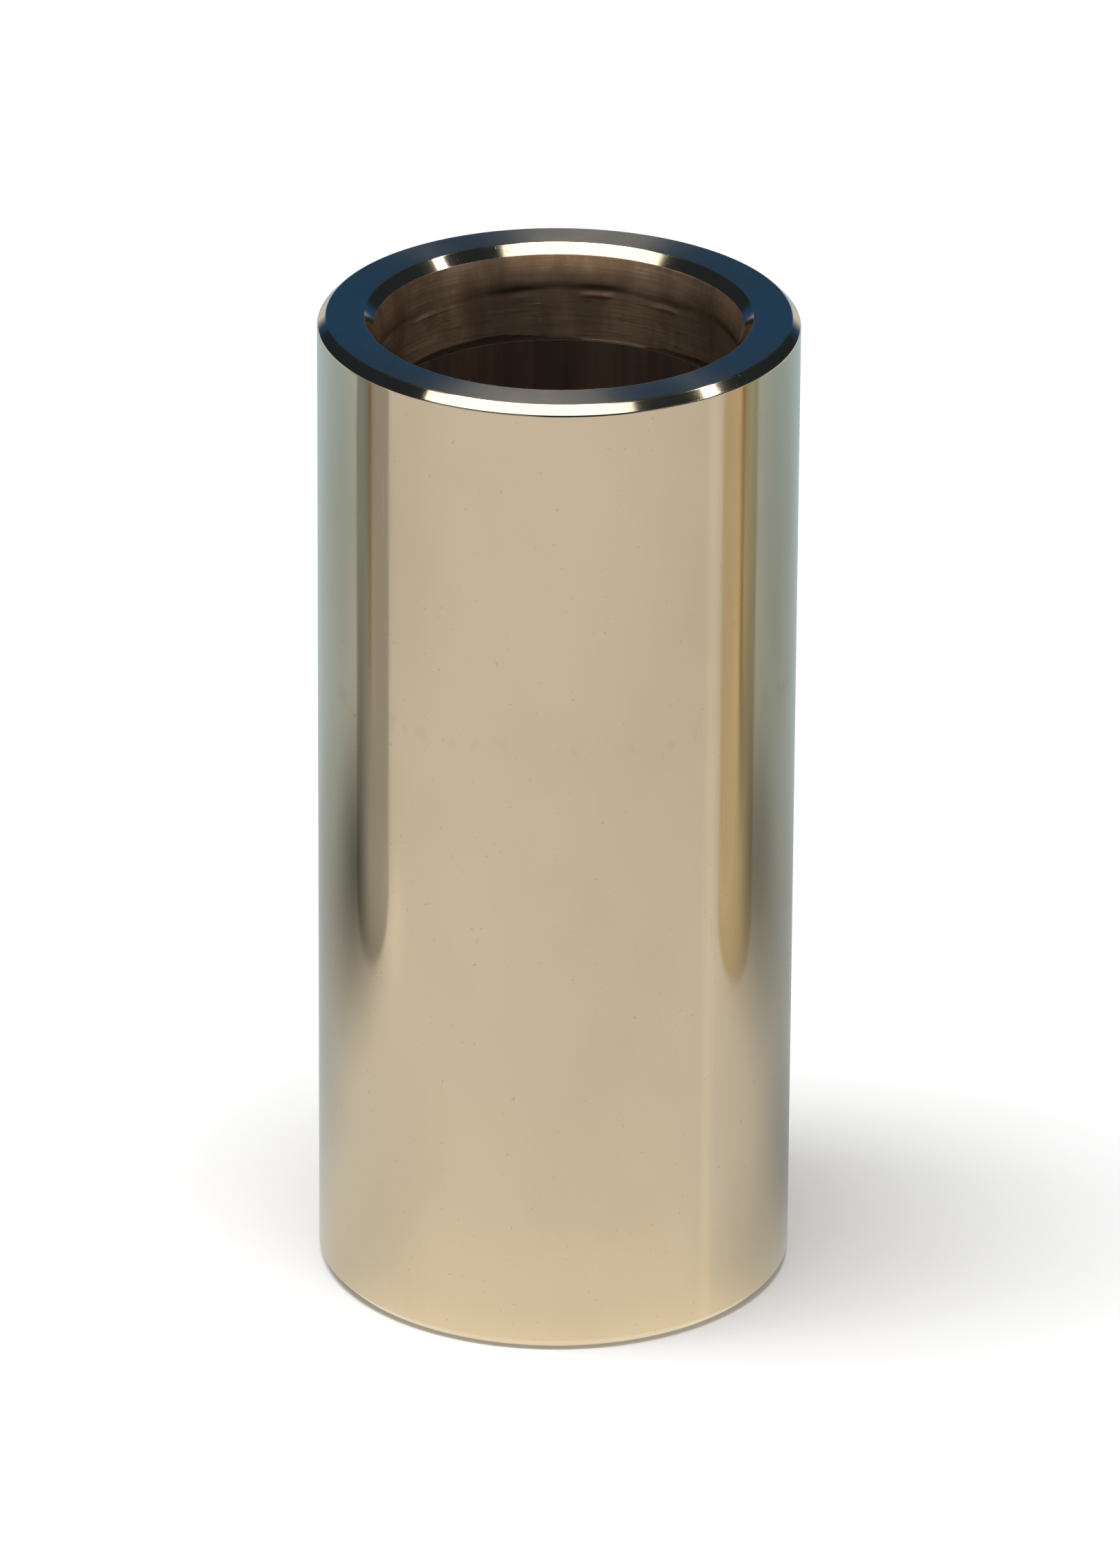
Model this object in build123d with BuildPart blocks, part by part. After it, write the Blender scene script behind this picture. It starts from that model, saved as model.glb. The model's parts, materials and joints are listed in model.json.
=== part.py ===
"""Heavy-wall brass guitar slide: one tube, open at both ends, worn on a finger and run along the strings.

Frame: millimetres, +Z along the tube, origin at the centre of the lower end face, which the tube stands on.
Both ends are turned alike, so the tube is the same either way up.
"""

import os

from build123d import *

# Driving dimensions
length = 60.0  # the usual length of a full-length slide
outer_diameter = 28.0  # the polished playing surface
bore_diameter = 20.6  # the drawn bore that the finger sits in

# So that the finger goes in easily, each end is bored out by a small step and scraped into a shallow flare.
lead_in_diameter = 21.0
lead_in_depth = 5.8  # from the end face to the ledge where the drawn bore starts
mouth_diameter = 21.4  # of the flare, where it meets the inner bevel
flare_depth = 2.7  # from the end face to where the flare runs out into the lead-in

# Both rims are bevelled at 45 degrees. Polishing breaks the bevels' edges, and wear rounds the outer ones more.
outer_bevel = 0.55
inner_bevel = 0.60
outer_break_radius = 0.20
inner_break_radius = 0.12
step_break_radius = 0.04  # on the ledge inside the bore

# Radii that follow from them
outer_radius = outer_diameter / 2
bore_radius = bore_diameter / 2
lead_in_radius = lead_in_diameter / 2
mouth_radius = mouth_diameter / 2

# Points of the wall's section at the upper end as (radius, height), from the playing surface to the bore
outer_corners = [
    (outer_radius, length - outer_bevel),
    (outer_radius - outer_bevel, length),
]
inner_corners = [
    (mouth_radius + inner_bevel, length),
    (mouth_radius, length - inner_bevel),
]
flare_end = (lead_in_radius, length - flare_depth)
ledge_corners = [
    (lead_in_radius, length - lead_in_depth),
    (bore_radius, length - lead_in_depth),
]

mid_height = Plane(origin=(0, length / 2, 0), z_dir=(0, 1, 0))


def vertices_at(section, upper_corners):
    """The section's vertices at these corners of the upper end and at the same corners of the lower end."""
    corners = [Vector(radius, height) for radius, height in upper_corners]
    corners += [Vector(radius, length - height) for radius, height in upper_corners]
    return [v for v in section.vertices() if any((Vector(v) - corner).length < 1e-6 for corner in corners)]


# The tube is a turned part: the section of its wall is revolved about the tube's axis.
with BuildPart() as slide_tube:
    with BuildSketch(Plane.XZ) as wall:
        with BuildLine():
            Polyline((outer_radius, length / 2), *outer_corners, *inner_corners)
            TangentArc(flare_end, inner_corners[-1], tangent=(0, 1))
            Polyline(flare_end, *ledge_corners, (bore_radius, length / 2))
            mirror(about=mid_height)
        make_face()
        fillet(vertices_at(wall, outer_corners), outer_break_radius)
        fillet(vertices_at(wall, inner_corners), inner_break_radius)
        fillet(vertices_at(wall, ledge_corners), step_break_radius)
    revolve(axis=Axis.Z)

slide_tube.part.label = "slide_tube"

os.makedirs("parts", exist_ok=True)
export_step(slide_tube.part, "parts/slide_tube.step")
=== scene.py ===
"""Brass guitar slide standing on end: polished outside, turned rim and mouth, dark drawn bore.

Lengths are in metres. Azimuth is measured at the tube's axis from the front (-Y) towards the right (+X).
"""

import json
import math

import bpy
import numpy as np
from mathutils import Matrix, Vector


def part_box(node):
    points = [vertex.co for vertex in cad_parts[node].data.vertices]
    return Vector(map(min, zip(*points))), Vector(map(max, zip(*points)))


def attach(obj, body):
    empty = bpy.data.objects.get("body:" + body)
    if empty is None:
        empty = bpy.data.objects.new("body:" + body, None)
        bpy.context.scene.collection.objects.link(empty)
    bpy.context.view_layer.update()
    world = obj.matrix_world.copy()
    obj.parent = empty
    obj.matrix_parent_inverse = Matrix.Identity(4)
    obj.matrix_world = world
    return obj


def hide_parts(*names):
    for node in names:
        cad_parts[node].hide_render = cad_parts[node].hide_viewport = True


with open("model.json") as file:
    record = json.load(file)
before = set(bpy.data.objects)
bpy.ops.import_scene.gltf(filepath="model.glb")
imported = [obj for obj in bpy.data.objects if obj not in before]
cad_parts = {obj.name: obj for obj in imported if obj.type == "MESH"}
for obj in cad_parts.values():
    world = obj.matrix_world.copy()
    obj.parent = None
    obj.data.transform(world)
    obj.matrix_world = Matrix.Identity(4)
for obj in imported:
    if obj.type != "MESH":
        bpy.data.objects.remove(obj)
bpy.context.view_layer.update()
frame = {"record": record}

MM = 0.001
FULL_TURN = 2 * math.pi
random = np.random.default_rng(28)

# ----------------------------------------------------------------------------------------------------
# Sizes. The outside, the length and the bore come from the frame, and the turned ends repeat the CAD's.
# ----------------------------------------------------------------------------------------------------
low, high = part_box("slide_tube")
mounts = {mount["name"]: mount for mount in frame["record"]["mounts"]}

base_height = low.z
top_height = high.z
inside_the_box = 0.001 * MM  # how far the outside keeps within the CAD's box
outer_radius = min(-low.x, high.x, -low.y, high.y) - inside_the_box
bore_radius = mounts["bore"]["dims"]["r_mm"] * MM

step_height = 0.2 * MM  # of the ledge between the lead-in and the bore
lead_in_radius = bore_radius + step_height
lead_in_depth = 5.8 * MM
flare_rise = 0.2 * MM  # how far the flare widens
mouth_radius = lead_in_radius + flare_rise
outer_bevel = 0.55 * MM
inner_bevel = 0.60 * MM

# The flare is an arc between the inner bevel and the lead-in. Its tangents meet at its bend.
flare_depth = 2.7 * MM
flare_bend = 10.6 * MM  # radius
flare_bend_depth = flare_depth - 1.03 * MM

outer_break = 0.20 * MM  # radius of the worn edges of the outer bevel
inner_break = 0.12 * MM
ledge_break = 0.04 * MM
face_crown = 0.018 * MM  # how far buffing has lowered the end face's edges below its middle

# ----------------------------------------------------------------------------------------------------
# The tube's section: straight runs joined by arcs, as rows of (radius, height, normal, zone)
# ----------------------------------------------------------------------------------------------------
SEGMENTS = 384  # round the tube

# Zone of each run: its material and the distance between its rows
ZONES = {
    "outside": ("polished", 3.0 * MM),
    "bevel": ("polished", 0.2 * MM),
    "face": ("turned_face", 0.25 * MM),
    "flare": ("turned_mouth", 0.1 * MM),
    "lead_in": ("turned_mouth", 0.08 * MM),
    "ledge": ("drawn_bore", 0.1 * MM),
    "bore": ("drawn_bore", 2.4 * MM),
}

# Corners at the upper end, from the playing surface to the bore: radius, depth, bend radius, rows on the
# bend, and the zone of the next run
UPPER_CORNERS = [
    (outer_radius, outer_bevel, outer_break, 5, "bevel"),
    (outer_radius - outer_bevel + face_crown, face_crown, outer_break, 5, "face"),
    (mouth_radius + inner_bevel - face_crown, face_crown, inner_break, 3, "bevel"),
    (mouth_radius, inner_bevel, inner_break, 3, "flare"),
    (lead_in_radius, flare_bend_depth, flare_bend, 24, "lead_in"),
    (lead_in_radius, lead_in_depth, ledge_break, 1, "ledge"),
    (bore_radius, lead_in_depth, ledge_break, 1, "bore"),
]


def both_ends(upper):
    """The corners of the whole section: up the outside, over the rim, down the bore and back outside."""
    runs_above = [zone for *_, zone in upper]
    runs_below = list(reversed(runs_above[:-1])) + ["outside"]
    above = [(radius, top_height - depth, *rest) for radius, depth, *rest in upper]
    below = [
        (radius, base_height + depth, bend, bend_rows, zone)
        for (radius, depth, bend, bend_rows, _), zone in zip(reversed(upper), runs_below)
    ]
    return above + below


def section_rows(corners):
    """Rows round the closed section, each (radius, height, normal_r, normal_z, zone, on_bend)."""
    points = np.array([corner[:2] for corner in corners])
    runs = np.roll(points, -1, axis=0) - points
    lengths = np.linalg.norm(runs, axis=1)
    directions = runs / lengths[:, None]
    normals = np.stack([directions[:, 1], -directions[:, 0]], axis=1)
    count = len(corners)

    turns, trims = [], []
    for i in range(count):
        before, after = directions[i - 1], directions[i]
        turn = math.atan2(before[0] * after[1] - before[1] * after[0], before @ after)
        turns.append(turn)
        trims.append(corners[i][2] * math.tan(abs(turn) / 2))

    rows = []
    for i in range(count):
        bend, bend_rows, zone = corners[i][2:]
        side = 1 if turns[i] > 0 else -1  # 1 for a corner that stands out, -1 for an inside corner
        centre = points[i] - directions[i - 1] * trims[i] - side * bend * normals[i - 1]
        nr, nz = normals[i - 1]
        for k in range(1, bend_rows + 1):
            turned = turns[i] * k / (bend_rows + 1)
            cos, sin = math.cos(turned), math.sin(turned)
            normal = np.array([nr * cos - nz * sin, nr * sin + nz * cos])
            rows.append((*(centre + side * bend * normal), *normal, zone, True))

        start, stop = trims[i], lengths[i] - trims[(i + 1) % count]
        steps = max(1, round((stop - start) / ZONES[zone][1]))
        for distance in np.linspace(start, stop, steps + 1):
            rows.append((*(points[i] + directions[i] * distance), *normals[i], zone, False))
    return rows


def columns(rows):
    """What the rows hold, as six columns: radius, height, normal_r, normal_z, zone and on_bend."""
    return [np.array(values)[:, None] for values in zip(*rows)]


# ----------------------------------------------------------------------------------------------------
# How the real surface departs from the perfect section
# ----------------------------------------------------------------------------------------------------
POLISH_WAVES = 0.0022 * MM  # height
FLUTES = 0.0030 * MM
DINGS_PER_END = 6

RING_PITCH = 0.30 * MM
RING_FADE = 0.30 * MM  # how far the rings take to reach their height
FLARE_RINGS = 0.0015 * MM  # height
LEAD_IN_RINGS = 0.0030 * MM

GROOVE_DEPTH = 0.027 * MM
GROOVE_HALF_WIDTH = 0.17 * MM
BURR_HEIGHT = 0.040 * MM
BURR_HALF_WIDTH = 0.16 * MM
BURR_OFFSET = 0.36 * MM  # from the groove's middle

UNSHADED_CLEAN_DEPTH = 0.9 * MM  # down to which most of the flare is clean and free of painted shade
# Places round the mouth with more painted shade (added above 0) or with painted light (added below 0):
# azimuth and half-width in degrees, and added grime and shade
GRIME_AND_SHADE_PLACES = [(199, 9, 0.15), (219, 6, -0.45), (236, 24, -0.50)]


def ramp(value, start, width):
    """0 up to start, rising evenly to 1 over the width after it."""
    return np.clip((value - start) / width, 0, 1)


def window(value, start, stop, soft):
    """1 between start and stop, falling evenly to 0 over the distance soft inside each of them."""
    return ramp(value, start, soft) * ramp(-value, -stop, soft)


def bell(distance, half_width):
    """1 at no distance, falling smoothly to almost nothing at twice the half-width."""
    return np.exp(-((distance / half_width) ** 2))


def smooth_noise(azimuth, along, around_count, pitch):
    """Smooth random heights from -1 to 1, with around_count bumps round the tube and pitch along it."""
    u = (azimuth / FULL_TURN * around_count) % around_count
    v = along / pitch
    v = v - v.min()
    lattice = random.uniform(-1, 1, (int(v.max()) + 2, around_count))
    column, row = np.floor(u).astype(int), np.floor(v).astype(int)
    fu, fv = u - column, v - row
    fu, fv = fu * fu * (3 - 2 * fu), fv * fv * (3 - 2 * fv)
    column = column % around_count
    following = (column + 1) % around_count
    lower = lattice[row, column] * (1 - fu) + lattice[row, following] * fu
    upper = lattice[row + 1, column] * (1 - fu) + lattice[row + 1, following] * fu
    return lower * (1 - fv) + upper * fv


def noise_round(azimuth, around_count):
    """The same noise at every height: it changes only round the tube."""
    return smooth_noise(azimuth, np.zeros((1, 1)), around_count, 1.0)


def nicks(azimuth, height, places):
    """Small dings, as depths: each place is (azimuth in degrees, height, half-width, depth)."""
    depth = np.zeros(np.broadcast(azimuth, height).shape)
    for angle, at_height, half_width, deepest in places:
        around = (azimuth - math.radians(angle) + math.pi) % FULL_TURN - math.pi
        distance = np.hypot(around * outer_radius, height - at_height)
        depth += deepest * bell(distance, half_width)
    return depth


def surface_departures(rows, azimuth):
    """(how far each row swells along its normal, how much grime and painted shade it has from 0 to 1) at
    each azimuth.
    """
    radius, height, _, _, zone, on_bend = columns(rows)
    depth = np.minimum(top_height - height, height - base_height)
    angle = azimuth[None, :]
    swell = np.zeros((len(rows), len(azimuth)))

    # Hand polishing leaves the outside a few thousandths of a millimetre low in places, and nowhere high.
    polish = smooth_noise(angle, height, 9, 11 * MM) + 0.4 * smooth_noise(angle, height, 26, 5 * MM)
    waves = POLISH_WAVES * (1.4 + polish) * ramp(depth, outer_bevel, 2 * MM)
    swell -= np.where(zone == "outside", waves, 0)

    # Use has left a few dings on the outer edges.
    dings = [
        (random.uniform(0, 360), end, random.uniform(0.12, 0.28) * MM, random.uniform(0.003, 0.009) * MM)
        for end in (top_height - outer_bevel, base_height + outer_bevel)
        for _ in range(DINGS_PER_END)
    ]
    swell -= np.where(radius > outer_radius - outer_bevel, nicks(angle, height, dings), 0)

    # The end faces are highest at their middle.
    flat = (zone == "face") & ~on_bend
    face_inside, face_outside = radius[flat].min(), radius[flat].max()
    off_middle = (2 * radius - face_inside - face_outside) / (face_outside - face_inside)
    swell += np.where(flat, face_crown * (1 - off_middle**2), 0)

    # The tools left rings in the flare and in the lead-in, torn a little where they chattered.
    rings = np.sin(FULL_TURN * depth / RING_PITCH + 0.9 * smooth_noise(angle, height, 22, 0.8 * MM))
    torn = 0.5 + 0.5 * smooth_noise(angle, height, 36, 0.5 * MM)
    turned = (radius < mouth_radius) & (radius > bore_radius + step_height / 2)
    shallow = FLARE_RINGS * window(depth, inner_bevel + 0.1 * MM, flare_depth, RING_FADE)
    deep = LEAD_IN_RINGS * window(depth, flare_depth, lead_in_depth - 0.1 * MM, RING_FADE)
    swell += np.where(turned, (shallow + deep) * rings * torn, 0)

    # Where the flare runs out, its scraper left a ragged groove, with flecks of burr along its inner lip.
    wander = 0.14 * MM * noise_round(angle, 15) + 0.06 * MM * noise_round(angle, 60)
    past = depth - flare_depth - wander
    ragged = np.clip(0.6 + 0.5 * noise_round(angle, 26), 0.25, 1)
    groove = ragged * bell(past, GROOVE_HALF_WIDTH)
    flecks = np.clip(1.6 * noise_round(angle, 30) + 0.45, 0, 1)
    burr = flecks * bell(past - BURR_OFFSET, BURR_HALF_WIDTH)
    swell += np.where(turned, BURR_HEIGHT * burr - GROOVE_DEPTH * groove, 0)

    # The drawn bore is faintly fluted along its length.
    flutes = noise_round(angle, 90) + 0.6 * smooth_noise(angle, height, 40, 15 * MM)
    swell += np.where(zone == "bore", FLUTES * flutes * ramp(depth, lead_in_depth, 2.4 * MM), 0)

    # Grime gathers in the groove and deep in the mouth, with painted shade in both, and it thins out up the
    # flare. The burr's flecks are kept lighter as painted highlights.
    film_and_shade = 0.60 * ramp(depth, UNSHADED_CLEAN_DEPTH, 1.4 * MM)
    for place, half_width, added in GRIME_AND_SHADE_PLACES:
        film_and_shade = film_and_shade + added * bell(np.degrees(angle) - place, half_width) * ramp(depth, 0, UNSHADED_CLEAN_DEPTH)
    in_groove = ragged * bell(past + 0.12 * MM, 0.26 * MM)
    grime_and_shade = np.where(turned, np.clip(film_and_shade + 0.55 * in_groove - 0.30 * burr, 0, 1), 0)

    # Grime and painted shade darken the ledge as well and, unevenly, the corner above it.
    reach = (0.10 + 0.45 * np.clip(noise_round(angle, 18), 0, 1)) * MM
    corner = ramp(depth, lead_in_depth - reach, 0.12 * MM)
    beside_ledge = (zone == "lead_in") | (zone == "ledge") | ((zone == "bore") & on_bend)
    return swell, np.where(beside_ledge, np.maximum(grime_and_shade, corner), grime_and_shade)


def swollen(rows, azimuth, swell):
    """The points and the normals once the rows have swelled along their normals."""
    radius, height, normal_r, normal_z, _, _ = columns(rows)
    gap = np.hypot(np.roll(radius, -1) - radius, np.roll(height, -1) - height)
    spacing_along = gap + np.roll(gap, 1)
    spacing_around = 2 * (FULL_TURN / SEGMENTS) * radius
    slope_along = (np.roll(swell, -1, axis=0) - np.roll(swell, 1, axis=0)) / spacing_along
    slope_around = (np.roll(swell, -1, axis=1) - np.roll(swell, 1, axis=1)) / spacing_around

    # The normal leans back from each slope. The direction along the section is the normal turned a quarter.
    bent_r = normal_r + normal_z * slope_along
    bent_z = normal_z - normal_r * slope_along
    size = np.sqrt(bent_r**2 + bent_z**2 + slope_around**2)
    bent_r, bent_z, bent_around = bent_r / size, bent_z / size, -slope_around / size

    out_x, out_y = np.sin(azimuth), -np.cos(azimuth)
    new_radius = radius + normal_r * swell
    new_height = height + normal_z * swell
    points = np.stack([new_radius * out_x, new_radius * out_y, new_height], axis=-1)
    normal_x = bent_r * out_x - bent_around * out_y
    normal_y = bent_r * out_y + bent_around * out_x
    normals = np.stack([normal_x, normal_y, bent_z], axis=-1)
    return points.reshape(-1, 3).tolist(), normals.reshape(-1, 3).tolist()


def paint(mesh, name, values):
    """Stores a value for each vertex, which the materials read by this name."""
    mesh.attributes.new(name, "FLOAT", "POINT").data.foreach_set("value", values)


def build_tube():
    """The whole tube as one closed mesh, with exact normals and a material index for each zone."""
    rows = section_rows(both_ends(UPPER_CORNERS))
    azimuth = np.arange(SEGMENTS) * FULL_TURN / SEGMENTS
    swell, grime_and_shade = surface_departures(rows, azimuth)
    points, normals = swollen(rows, azimuth, swell)

    faces, slots = [], []
    finishes = list(dict.fromkeys(finish for finish, _ in ZONES.values()))
    for i, (*_, zone, _) in enumerate(rows):
        below, above = i * SEGMENTS, (i + 1) % len(rows) * SEGMENTS
        slot = finishes.index(ZONES[zone][0])
        for k in range(SEGMENTS):
            following = (k + 1) % SEGMENTS
            faces.append((below + k, below + following, above + following, above + k))
            slots.append(slot)

    mesh = bpy.data.meshes.new("polished_tube")
    mesh.from_pydata(points, [], faces)
    for finish in finishes:
        mesh.materials.append(MATERIALS[finish])
    mesh.polygons.foreach_set("material_index", slots)
    mesh.polygons.foreach_set("use_smooth", [True] * len(faces))

    # 1 on the rounded edges of the rims, which hands and strings rub bright
    edge_wear = [float(on_bend and radius > mouth_radius) for radius, *_, on_bend in rows]
    paint(mesh, "edge_wear", np.repeat(edge_wear, SEGMENTS))
    paint(mesh, "grime_and_shade", grime_and_shade.ravel())
    mesh.normals_split_custom_set_from_vertices(normals)
    tube = bpy.data.objects.new("polished_tube", mesh)
    bpy.context.scene.collection.objects.link(tube)
    return tube


# ----------------------------------------------------------------------------------------------------
# Nodes that the materials are made of
# ----------------------------------------------------------------------------------------------------
def add(tree, kind, inputs=None, **settings):
    """A new node. inputs gives values or sockets by input name or index, and settings its properties."""
    node = tree.nodes.new(kind)
    for name, value in settings.items():
        setattr(node, name, value)
    for name, value in (inputs or {}).items():
        if isinstance(value, bpy.types.NodeSocket):
            tree.links.new(value, node.inputs[name])
        else:
            node.inputs[name].default_value = value
    return node


def maths(tree, operation, a, b=0.0):
    """The operation on a and b, or on a alone for one that needs only one."""
    return add(tree, "ShaderNodeMath", {0: a, 1: b}, operation=operation).outputs["Value"]


def plus(tree, value, share, mask):
    """value, with share of mask added to it."""
    return maths(tree, "ADD", value, maths(tree, "MULTIPLY", mask, share))


def ranged(tree, value, source, target, smooth=True):
    """value taken from the range source to the range target, and held at its ends."""
    limits = {"From Min": source[0], "From Max": source[1], "To Min": target[0], "To Max": target[1]}
    interpolation = "SMOOTHSTEP" if smooth else "LINEAR"
    node = add(tree, "ShaderNodeMapRange", {"Value": value, **limits}, interpolation_type=interpolation)
    return node.outputs["Result"]


def blended(tree, share, first, second):
    """The colour first where share is 0 and second where it is 1."""
    first, second = (c if isinstance(c, bpy.types.NodeSocket) else (*c, 1.0) for c in (first, second))
    return add(tree, "ShaderNodeMix", {0: share, 6: first, 7: second}, data_type="RGBA").outputs[2]


def tinted(tree, colour, mask, share, tint):
    """The colour, blended by share towards the tint where mask is 1."""
    return blended(tree, maths(tree, "MULTIPLY", mask, share), colour, tint)


def stretched_noise(tree, scale, turn=(0, 0, 0), detail=3.0, roughness=0.5):
    """Noise over the tube with scale features for each millimetre along x, y and z."""
    place = add(tree, "ShaderNodeTexCoord").outputs["Object"]
    stretch = {"Vector": place, "Rotation": turn, "Scale": tuple(s / MM for s in scale)}
    stretched = add(tree, "ShaderNodeMapping", stretch).outputs["Vector"]
    look = {"Vector": stretched, "Scale": 1.0, "Detail": detail, "Roughness": roughness}
    return add(tree, "ShaderNodeTexNoise", look).outputs["Fac"]


def patches(tree, scale, limits, turn=(0, 0, 0), detail=3.0):
    """Soft-edged patches of 1 on 0, where such a noise goes over the limits."""
    return ranged(tree, stretched_noise(tree, scale, turn, detail), limits, (0, 1))


def attribute(tree, name):
    """What paint stored by this name."""
    return add(tree, "ShaderNodeAttribute", attribute_name=name).outputs["Fac"]


def position(tree):
    """(x, y, z, distance from the tube's axis) at a point, in metres."""
    place = add(tree, "ShaderNodeTexCoord").outputs["Object"]
    x, y, z = add(tree, "ShaderNodeSeparateXYZ", {"Vector": place}).outputs
    flat = add(tree, "ShaderNodeCombineXYZ", {"X": x, "Y": y}).outputs["Vector"]
    distance = add(tree, "ShaderNodeVectorMath", {0: flat}, operation="LENGTH").outputs["Value"]
    return x, y, z, distance


def metal(name):
    """A new material with a fully metallic shader: (material, tree, shader)."""
    material = bpy.data.materials.new(name)
    material.use_nodes = True
    tree = material.node_tree
    shader = tree.nodes["Principled BSDF"]
    shader.inputs["Metallic"].default_value = 1.0
    return material, tree, shader


def bumped(tree, shader, *layers):
    """Feeds the shader's normal with bump layers of (height socket, depth in metres)."""
    normal = None
    for height, depth in layers:
        node = add(tree, "ShaderNodeBump", {"Height": height, "Distance": depth, "Strength": 1.0})
        if normal is not None:
            tree.links.new(normal, node.inputs["Normal"])
        normal = node.outputs["Normal"]
    tree.links.new(normal, shader.inputs["Normal"])


def round_the_tube(tree, shader, share):
    """Stretches the shader's gloss across tool marks that run round the tube."""
    tangent = add(tree, "ShaderNodeTangent", direction_type="RADIAL", axis="Z")
    tree.links.new(tangent.outputs["Tangent"], shader.inputs["Tangent"])
    shader.inputs["Anisotropic"].default_value = share
    shader.inputs["Anisotropic Rotation"].default_value = 0.25  # a quarter turn


# ----------------------------------------------------------------------------------------------------
# The tube's four finishes
# ----------------------------------------------------------------------------------------------------
BRASS = (0.83, 0.68, 0.47)
SMUDGE_HEIGHT = 38.7 * MM
FACE_RINGS = 14  # for each millimetre across the end face


def polished():
    """A mirror polish with thin tarnish, specks, fine lines round it and a few scratches."""
    material, tree, shader = metal("polished_brass")
    tarnished, smudged = (0.76, 0.60, 0.40), (0.50, 0.38, 0.26)
    speckled, rubbed_bright = (0.34, 0.25, 0.15), (0.90, 0.78, 0.58)
    tarnish = patches(tree, (0.16, 0.16, 0.11), (0.42, 0.66), detail=5)
    specks = patches(tree, (3.6, 3.6, 3.6), (0.73, 0.79), detail=1)
    lines = stretched_noise(tree, (0.35, 0.35, 26), detail=4, roughness=0.65)
    hairs = patches(tree, (8.5, 8.5, 0.16), (0.70, 0.77), (0.05, 0.08, 0), detail=2)
    slants = patches(tree, (0.22, 7.0, 7.0), (0.71, 0.78), (0.4, 0.7, 0.5), detail=2)
    scratches = maths(tree, "MAXIMUM", hairs, slants)
    rubbed = attribute(tree, "edge_wear")

    # A faint row of smudges runs round the middle.
    _, _, height, _ = position(tree)
    off_row = maths(tree, "ABSOLUTE", maths(tree, "SUBTRACT", height, SMUDGE_HEIGHT))
    row = ranged(tree, off_row, (0, 0.9 * MM), (1, 0))
    blots = patches(tree, (0.8, 0.8, 0.4), (0.52, 0.74), detail=1)
    smudges = maths(tree, "MULTIPLY", row, blots)

    colour = tinted(tree, BRASS, tarnish, 0.25, tarnished)
    colour = tinted(tree, colour, smudges, 0.22, smudged)
    colour = tinted(tree, colour, specks, 0.25, speckled)
    colour = tinted(tree, colour, rubbed, 0.5, rubbed_bright)
    tree.links.new(colour, shader.inputs["Base Color"])

    gloss = ranged(tree, tarnish, (0, 1), (0.07, 0.10), smooth=False)
    gloss = maths(tree, "ADD", gloss, ranged(tree, lines, (0.3, 0.7), (-0.012, 0.018), smooth=False))
    gloss = plus(tree, gloss, 0.12, scratches)
    gloss = plus(tree, gloss, 0.05, rubbed)
    tree.links.new(gloss, shader.inputs["Roughness"])
    cuts = plus(tree, maths(tree, "MULTIPLY", scratches, -1.0), -1.5, specks)
    bumped(tree, shader, (lines, 0.00006 * MM), (cuts, 0.0006 * MM))
    return material


def turned_face():
    """An end face with very fine rings, faintly stained."""
    material, tree, shader = metal("turned_face_brass")
    stain = patches(tree, (0.5, 0.5, 0.5), (0.4, 0.7), detail=4)
    colour = tinted(tree, BRASS, stain, 0.4, (0.74, 0.60, 0.42))
    tree.links.new(colour, shader.inputs["Base Color"])

    _, _, _, radius = position(tree)
    across = maths(tree, "MULTIPLY", radius, FACE_RINGS / MM)
    place = add(tree, "ShaderNodeCombineXYZ", {"X": across}).outputs["Vector"]
    rings = add(tree, "ShaderNodeTexNoise", {"Vector": place, "Scale": 1.0, "Detail": 3.0}).outputs["Fac"]
    gloss = ranged(tree, rings, (0.3, 0.7), (0.20, 0.24), smooth=False)
    gloss = plus(tree, gloss, 0.015, stain)
    tree.links.new(gloss, shader.inputs["Roughness"])
    bumped(tree, shader, (rings, 0.0004 * MM))
    round_the_tube(tree, shader, 0.95)
    return material


def turned_mouth():
    """The rough flare and lead-in, with tool rings, tears, brown stains, and grime with painted shade."""
    material, tree, shader = metal("turned_mouth_brass")
    bare, stained = (0.62, 0.43, 0.285), (0.40, 0.27, 0.175)
    ringed, grime_and_shade_colour = (0.27, 0.175, 0.115), (0.07, 0.048, 0.03)
    stain = patches(tree, (0.55, 0.55, 0.22), (0.38, 0.64), detail=5)
    rings = stretched_noise(tree, (0.25, 0.25, 9.0), detail=4, roughness=0.6)
    tears = patches(tree, (1.6, 1.6, 4.5), (0.60, 0.74))
    grime_and_shade = attribute(tree, "grime_and_shade")

    colour = blended(tree, stain, bare, stained)
    colour = blended(tree, ranged(tree, rings, (0.40, 0.62), (0.35, 0)), colour, ringed)
    # Grime and painted shade darken the mouth deeper down, in the groove and by the ledge.
    colour = blended(tree, grime_and_shade, colour, grime_and_shade_colour)
    tree.links.new(colour, shader.inputs["Base Color"])

    gloss = ranged(tree, rings, (0.3, 0.7), (0.38, 0.50), smooth=False)
    gloss = plus(tree, gloss, -0.1, tears)
    gloss = plus(tree, gloss, 0.2, grime_and_shade)
    tree.links.new(gloss, shader.inputs["Roughness"])
    bumped(tree, shader, (rings, 0.003 * MM), (tears, 0.006 * MM))
    round_the_tube(tree, shader, 0.75)
    shader.inputs["Metallic"].default_value = 0.88  # a dull oxide film covers part of the metal
    return material


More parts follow.
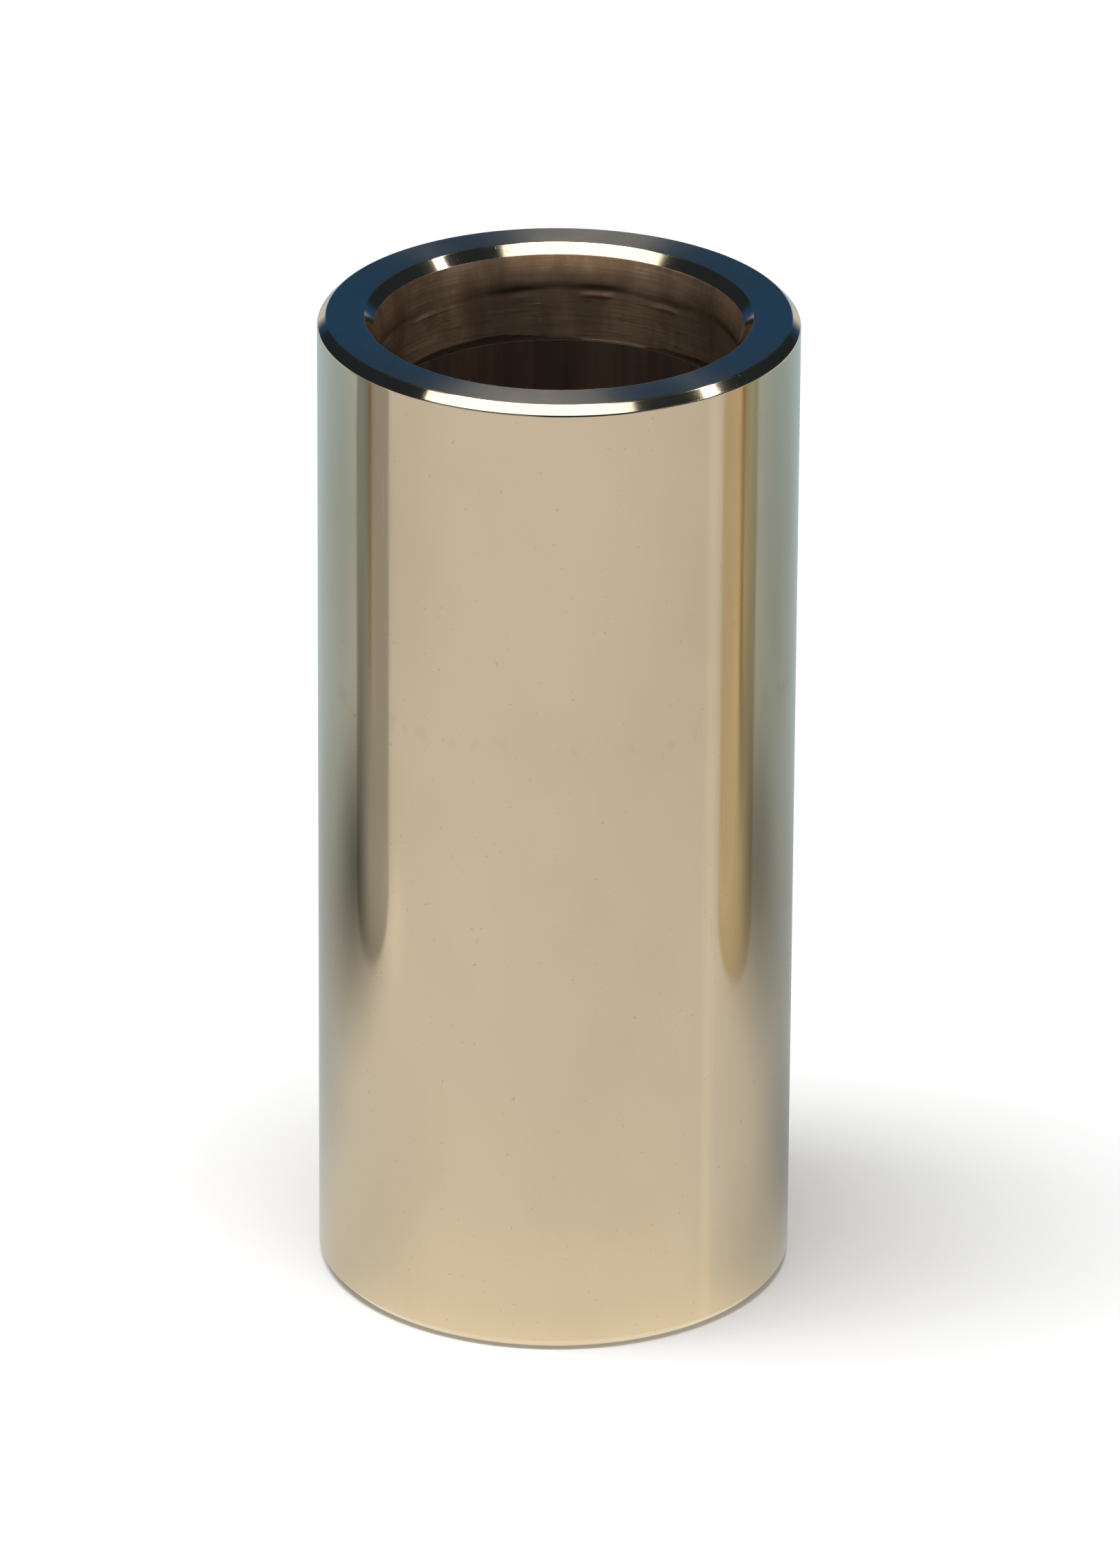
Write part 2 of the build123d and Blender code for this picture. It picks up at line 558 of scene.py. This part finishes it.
def drawn_bore():
    """The dark bore, streaked along its length as drawing leaves it."""
    material, tree, shader = metal("drawn_bore_brass")
    dull, bright, stained = (0.41, 0.315, 0.245), (0.49, 0.375, 0.295), (0.33, 0.25, 0.195)
    grime_and_shade_colour = (0.03, 0.02, 0.015)
    streaks = stretched_noise(tree, (1.6, 1.6, 0.05), detail=4, roughness=0.55)
    stain = patches(tree, (0.3, 0.3, 0.2), (0.36, 0.66), detail=5)
    grime_and_shade = attribute(tree, "grime_and_shade")

    colour = blended(tree, ranged(tree, streaks, (0.3, 0.7), (0, 1)), dull, bright)
    colour = tinted(tree, colour, stain, 0.4, stained)
    # Grime and painted shade darken the ledge and the corner beside it.
    colour = blended(tree, grime_and_shade, colour, grime_and_shade_colour)
    tree.links.new(colour, shader.inputs["Base Color"])

    gloss = ranged(tree, streaks, (0.3, 0.7), (0.38, 0.46), smooth=False)
    gloss = plus(tree, gloss, 0.45, grime_and_shade)
    tree.links.new(gloss, shader.inputs["Roughness"])
    bumped(tree, shader, (streaks, 0.001 * MM))
    return material


MATERIALS = {
    "polished": polished(),
    "turned_face": turned_face(),
    "turned_mouth": turned_mouth(),
    "drawn_bore": drawn_bore(),
}

tube = build_tube()
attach(tube, "root")
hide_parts("slide_tube")

# ----------------------------------------------------------------------------------------------------
# The floor. The paper one shows, and a second one just under it is what the metal mirrors: a glowing sheet
# with painted light and painted shadows.
# Places on the floors and distances from the slide's axis are in millimetres.
# ----------------------------------------------------------------------------------------------------
PAPER = 0.93  # how bright the floor and the backdrop look
PAPER_FADE = (150, 600)  # where the paper fades into the backdrop
FLOOR_HALF = 20.0  # metres
MIRRORED_FLOOR_DROP = 0.02 * MM

# The mirrored floor's painted light and shade by distance: in front of the slide, beside it and behind it
FLOOR_IN_FRONT = [
    (13, (0.90, 0.87, 0.79)),
    (20, (0.79, 0.78, 0.73)),
    (34, (0.72, 0.72, 0.71)),
    (56, (0.69, 0.69, 0.71)),
    (120, (0.68, 0.67, 0.69)),
]
FLOOR_BESIDE = [
    (16, (0.63, 0.65, 0.66)),
    (34, (0.66, 0.68, 0.70)),
    (56, (0.70, 0.71, 0.72)),
    (90, (0.64, 0.65, 0.66)),
    (120, (0.60, 0.61, 0.62)),
]
FLOOR_BEHIND = [
    (16, (0.56, 0.59, 0.62)),
    (34, (0.48, 0.53, 0.57)),
    (56, (0.45, 0.51, 0.56)),
    (90, (0.46, 0.56, 0.62)),
    (160, (0.40, 0.53, 0.62)),
    (600, (0.60, 0.62, 0.64)),
]
# The cosines of the azimuth between which the one turns into the next
FRONT_TO_BESIDE = (0.85, 0.25)
BESIDE_TO_BEHIND = (0.05, -0.60)

# Soft shadows: centre, radius and strength
SHADOWS = [
    ((17, 9), 24, 0.42),  # the slide's own, which widens behind it to the right
    ((40, 30), 46, 0.20),
    ((90, 58), 100, 0.36),
    ((-68, 16), 34, 0.80),  # by the left neighbour and behind it
    ((-50, 38), 36, 0.20),
    ((-100, 50), 90, 0.24),
    ((70, 17), 36, 0.60),  # by the right neighbour
    ((60, -60), 120, 0.08),  # a faint one in front of it
]
IN_SHADOW = (0.02, 0.03, 0.03)

# The right neighbour throws a painted streak of light, which spreads as it goes. Seen in the wall, lines
# that spread from its start stand upright. The left neighbour throws a painted patch of light.
STREAK_START = (3.7, -9.8)
STREAK_BEARING = math.radians(80)
STREAK_EDGES = (math.radians(0.5), math.radians(5.5))  # to each side: where it fades, and where it ends
STREAK_STRENGTH = 0.22
STREAK_LIGHT = (0.96, 0.93, 0.84)
PATCH_OF_LIGHT = ((-65, -16), 11, 0.4)
PATCH_LIGHT = (0.90, 0.88, 0.84)

SHADE_UNDER_SLIDE = (0.01, 0.008, 0.006)
FOOT_EDGE = (12.5, 13.5)  # where the painted shade under the slide ends


def stage_mesh(name, points, faces, material):
    """A new piece of the surroundings."""
    mesh = bpy.data.meshes.new(name)
    mesh.from_pydata(points, [], faces)
    mesh.materials.append(material)
    piece = bpy.data.objects.new(name, mesh)
    bpy.context.scene.collection.objects.link(piece)
    return piece


def floor_mesh(name, height, material):
    """A square floor round the origin."""
    ends = (-FLOOR_HALF, FLOOR_HALF)
    points = [(x, y, height) for y in ends for x in ends]
    return stage_mesh(name, points, [(0, 1, 3, 2)], material)


def only_reflected(piece):
    """The tube mirrors this piece, and nothing else shows it or is lit or shaded by it."""
    piece.visible_camera = False
    piece.visible_diffuse = False
    piece.visible_shadow = False
    piece.visible_transmission = False


def spot(tree, centre, radius, strength):
    """A soft spot on the floor: strength at its centre, and nothing past its radius."""
    place = add(tree, "ShaderNodeTexCoord").outputs["Object"]
    middle = (centre[0] * MM, centre[1] * MM, 0)
    gap = add(tree, "ShaderNodeVectorMath", {0: place, 1: middle}, operation="DISTANCE").outputs["Value"]
    return ranged(tree, gap, (0, radius * MM), (strength, 0))


def banded(tree, value, stops):
    """A colour that changes smoothly with value, through stops of (value, colour)."""
    colour = stops[0][1]
    for (start, _), (stop, reached) in zip(stops, stops[1:]):
        colour = blended(tree, ranged(tree, value, (start, stop), (0, 1)), colour, reached)
    return colour


def emitting(name):
    """A new material that glows by itself: (material, tree, light, output)."""
    material = bpy.data.materials.new(name)
    material.use_nodes = True
    tree = material.node_tree
    tree.nodes.clear()
    light = add(tree, "ShaderNodeEmission")
    output = add(tree, "ShaderNodeOutputMaterial", {"Surface": light.outputs["Emission"]})
    return material, tree, light, output


def paper_floor():
    """The floor that shows: pale paper near the slide, fading into the backdrop's brightness far away."""
    material, tree, light, output = emitting("pale_paper")
    light.inputs["Color"].default_value = (PAPER, PAPER, PAPER, 1)
    paper = add(tree, "ShaderNodeBsdfDiffuse", {"Color": (0.80, 0.80, 0.80, 1)})
    _, _, _, distance = position(tree)
    far = ranged(tree, maths(tree, "DIVIDE", distance, MM), PAPER_FADE, (0, 1))
    mix = add(tree, "ShaderNodeMixShader", {0: far, 1: paper.outputs["BSDF"], 2: light.outputs["Emission"]})
    tree.links.new(mix.outputs["Shader"], output.inputs["Surface"])
    floor = floor_mesh("floor", base_height, material)
    floor.visible_glossy = False


def streak(tree, x, y):
    """How strong the streak of light is at a place on the floor."""
    across = maths(tree, "SUBTRACT", x, STREAK_START[0] * MM)
    towards = maths(tree, "SUBTRACT", STREAK_START[1] * MM, y)
    bearing = maths(tree, "ARCTAN2", across, towards)
    off_streak = maths(tree, "ABSOLUTE", maths(tree, "SUBTRACT", bearing, STREAK_BEARING))
    return ranged(tree, off_streak, STREAK_EDGES, (STREAK_STRENGTH, 0))


def mirrored_floor():
    """The floor as the metal shows it, glowing with painted light and painted shadows: brightest at the
    slide's foot, shaded and bluish behind it.
    """
    material, tree, light, _ = emitting("mirrored_floor")
    x, y, _, from_axis = position(tree)
    distance = maths(tree, "DIVIDE", from_axis, MM)
    facing = maths(tree, "DIVIDE", maths(tree, "MULTIPLY", y, -1.0), from_axis)  # cosine of the azimuth

    colour = banded(tree, distance, FLOOR_IN_FRONT)
    for turning, stops in ((FRONT_TO_BESIDE, FLOOR_BESIDE), (BESIDE_TO_BEHIND, FLOOR_BEHIND)):
        colour = blended(tree, ranged(tree, facing, turning, (0, 1)), colour, banded(tree, distance, stops))
    for shadow in SHADOWS:
        colour = blended(tree, spot(tree, *shadow), colour, IN_SHADOW)
    colour = blended(tree, streak(tree, x, y), colour, STREAK_LIGHT)
    colour = blended(tree, spot(tree, *PATCH_OF_LIGHT), colour, PATCH_LIGHT)
    # Painted shade under the slide's foot.
    colour = blended(tree, ranged(tree, distance, FOOT_EDGE, (0, 1), smooth=False), SHADE_UNDER_SLIDE, colour)
    tree.links.new(colour, light.inputs["Color"])
    only_reflected(floor_mesh("mirrored_floor", base_height - MIRRORED_FLOOR_DROP, material))


# ----------------------------------------------------------------------------------------------------
# The studio. Polished metal shows what stands round it, so that is built as well as the light.
# ----------------------------------------------------------------------------------------------------
FILL = 0.47  # how bright the light is that the paper gets from all round
NEIGHBOUR_SIDES = 128
LAMP_DISTANCE = 1.6
OVERHEAD_ACROSS = (0.971, -0.218, 0.100)  # the long way of the softboxes overhead


def neighbour(name, place, colour, roughness):
    """Another slide beside this one, which shows only as a stripe in the polish."""
    material, _, shader = metal(name)
    shader.inputs["Base Color"].default_value = (*colour, 1)
    shader.inputs["Roughness"].default_value = roughness
    around = np.arange(NEIGHBOUR_SIDES) * FULL_TURN / NEIGHBOUR_SIDES
    circle_x = place[0] + outer_radius * np.cos(around)
    circle_y = place[1] + outer_radius * np.sin(around)
    points = [(x, y, z) for z in (base_height, top_height) for x, y in zip(circle_x, circle_y)]
    sides = []
    for k in range(NEIGHBOUR_SIDES):
        following = (k + 1) % NEIGHBOUR_SIDES
        sides.append((k, following, NEIGHBOUR_SIDES + following, NEIGHBOUR_SIDES + k))
    piece = stage_mesh(name, points, sides, material)
    piece.data.polygons.foreach_set("use_smooth", [True] * len(sides))
    only_reflected(piece)


def pointed(right, up, back, place):
    """The matrix of a lamp or a camera at a place, which looks away from back."""
    return Matrix.Translation(place) @ Matrix((right, up, back)).transposed().to_4x4()


def softbox(name, direction, across, size, brightness):
    """A soft lamp that faces the rim, with a size (along across, other way) and its face's brightness."""
    lamp = bpy.data.lights.new(name, "AREA")
    lamp.shape = "RECTANGLE"
    lamp.size, lamp.size_y = size
    lamp.energy = brightness * math.pi * size[0] * size[1]
    back = Vector(direction).normalized()
    right = (Vector(across) - Vector(across).dot(back) * back).normalized()
    up = back.cross(right)
    piece = bpy.data.objects.new(name, lamp)
    piece.matrix_world = pointed(right, up, back, Vector((0, 0, top_height)) + back * LAMP_DISTANCE)
    bpy.context.scene.collection.objects.link(piece)
    piece.visible_camera = False
    return piece


def studio_world():
    """Pale to the eye and to the paper. The metal mirrors a dark room."""
    world = bpy.data.worlds.new("studio")
    bpy.context.scene.world = world
    world.use_nodes = True
    tree = world.node_tree
    tree.nodes.clear()
    path = add(tree, "ShaderNodeLightPath").outputs
    direction = add(tree, "ShaderNodeTexCoord").outputs["Generated"]
    x, y, z = add(tree, "ShaderNodeSeparateXYZ", {"Vector": direction}).outputs
    dark, navy = (0.014, 0.021, 0.030), (0.015, 0.058, 0.150)
    grey, pale = (0.30, 0.31, 0.33), (0.45, 0.47, 0.50)

    # A navy backdrop hangs behind the slide, up to where the dark ceiling starts.
    room = blended(tree, ranged(tree, y, (0.80, 0.88), (0, 1)), dark, navy)
    room = blended(tree, ranged(tree, z, (0.50, 0.66), (0, 1)), room, dark)

    # The front of the room is grey, but for the dark place where a camera would stand.
    in_front = ranged(tree, y, (-0.25, -0.55), (0, 1))
    below_ceiling = ranged(tree, z, (0.62, 0.45), (0, 1))
    room = blended(tree, maths(tree, "MULTIPLY", in_front, below_ceiling), room, grey)
    left_edge = ranged(tree, x, (-0.22, -0.10), (0, 1))
    right_edge = ranged(tree, x, (0.50, 0.62), (1, 0))
    across = maths(tree, "MULTIPLY", left_edge, right_edge)
    by_camera = maths(tree, "MULTIPLY", across, ranged(tree, y, (-0.45, -0.60), (0, 1)))
    room = blended(tree, by_camera, room, dark)

    # At the horizon and below, it is pale all round.
    room = blended(tree, ranged(tree, z, (0.08, -0.02), (0, 1)), room, pale)

    lighting = blended(tree, path["Is Camera Ray"], (FILL, FILL, FILL), (PAPER, PAPER, PAPER))
    seen = blended(tree, path["Is Glossy Ray"], lighting, room)
    background = add(tree, "ShaderNodeBackground", {"Color": seen, "Strength": 1.0})
    add(tree, "ShaderNodeOutputWorld", {"Surface": background.outputs["Background"]})


studio_world()
paper_floor()
mirrored_floor()
neighbour("right_neighbour", (69.5 * MM, -1 * MM), (0.79, 0.69, 0.49), 0.12)
neighbour("left_neighbour", (-71.5 * MM, 2 * MM), (0.50, 0.50, 0.49), 0.2)

# Seen from the camera, the bevels mirror only the front softbox. The other two make the end face's haze.
softbox("front_softbox", (-0.163, -0.295, 0.947), OVERHEAD_ACROSS, (2.06, 0.37), 2.0)
softbox("middle_softbox", (-0.135, -0.087, 0.995), OVERHEAD_ACROSS, (1.14, 0.35), 16.5)
softbox("back_softbox", (-0.120, 0.120, 0.985), OVERHEAD_ACROSS, (1.25, 0.35), 1.6)

# The strip lamp makes the small light on each bevel and the streaks on the end face and down the mouth.
strip_lamp = softbox("strip_lamp", (0.707, 0.058, 0.705), (0.551, -0.669, -0.498), (1.0, 0.12), 8.0)
strip_lamp.visible_diffuse = False

# ----------------------------------------------------------------------------------------------------
# The camera, which stands where it was fitted to the outline in the photograph
# ----------------------------------------------------------------------------------------------------
elevation = math.radians(24.49)
roll = math.radians(0.369)
camera_distance = 0.714
aim = Vector((0.224 * MM, 0, 30.19 * MM))

camera_data = bpy.data.cameras.new("camera")
camera_data.lens = 278.87  # millimetres
camera_data.sensor_width = 36
camera = bpy.data.objects.new("camera", camera_data)
back = Vector((0, -math.cos(elevation), math.sin(elevation)))
level = Vector((1, 0, 0))
upright = back.cross(level)
right = math.cos(roll) * level + math.sin(roll) * upright
up = -math.sin(roll) * level + math.cos(roll) * upright
camera.matrix_world = pointed(right, up, back, aim + back * camera_distance)
bpy.context.scene.collection.objects.link(camera)
bpy.context.scene.camera = camera
bpy.context.scene.view_settings.view_transform = "Standard"
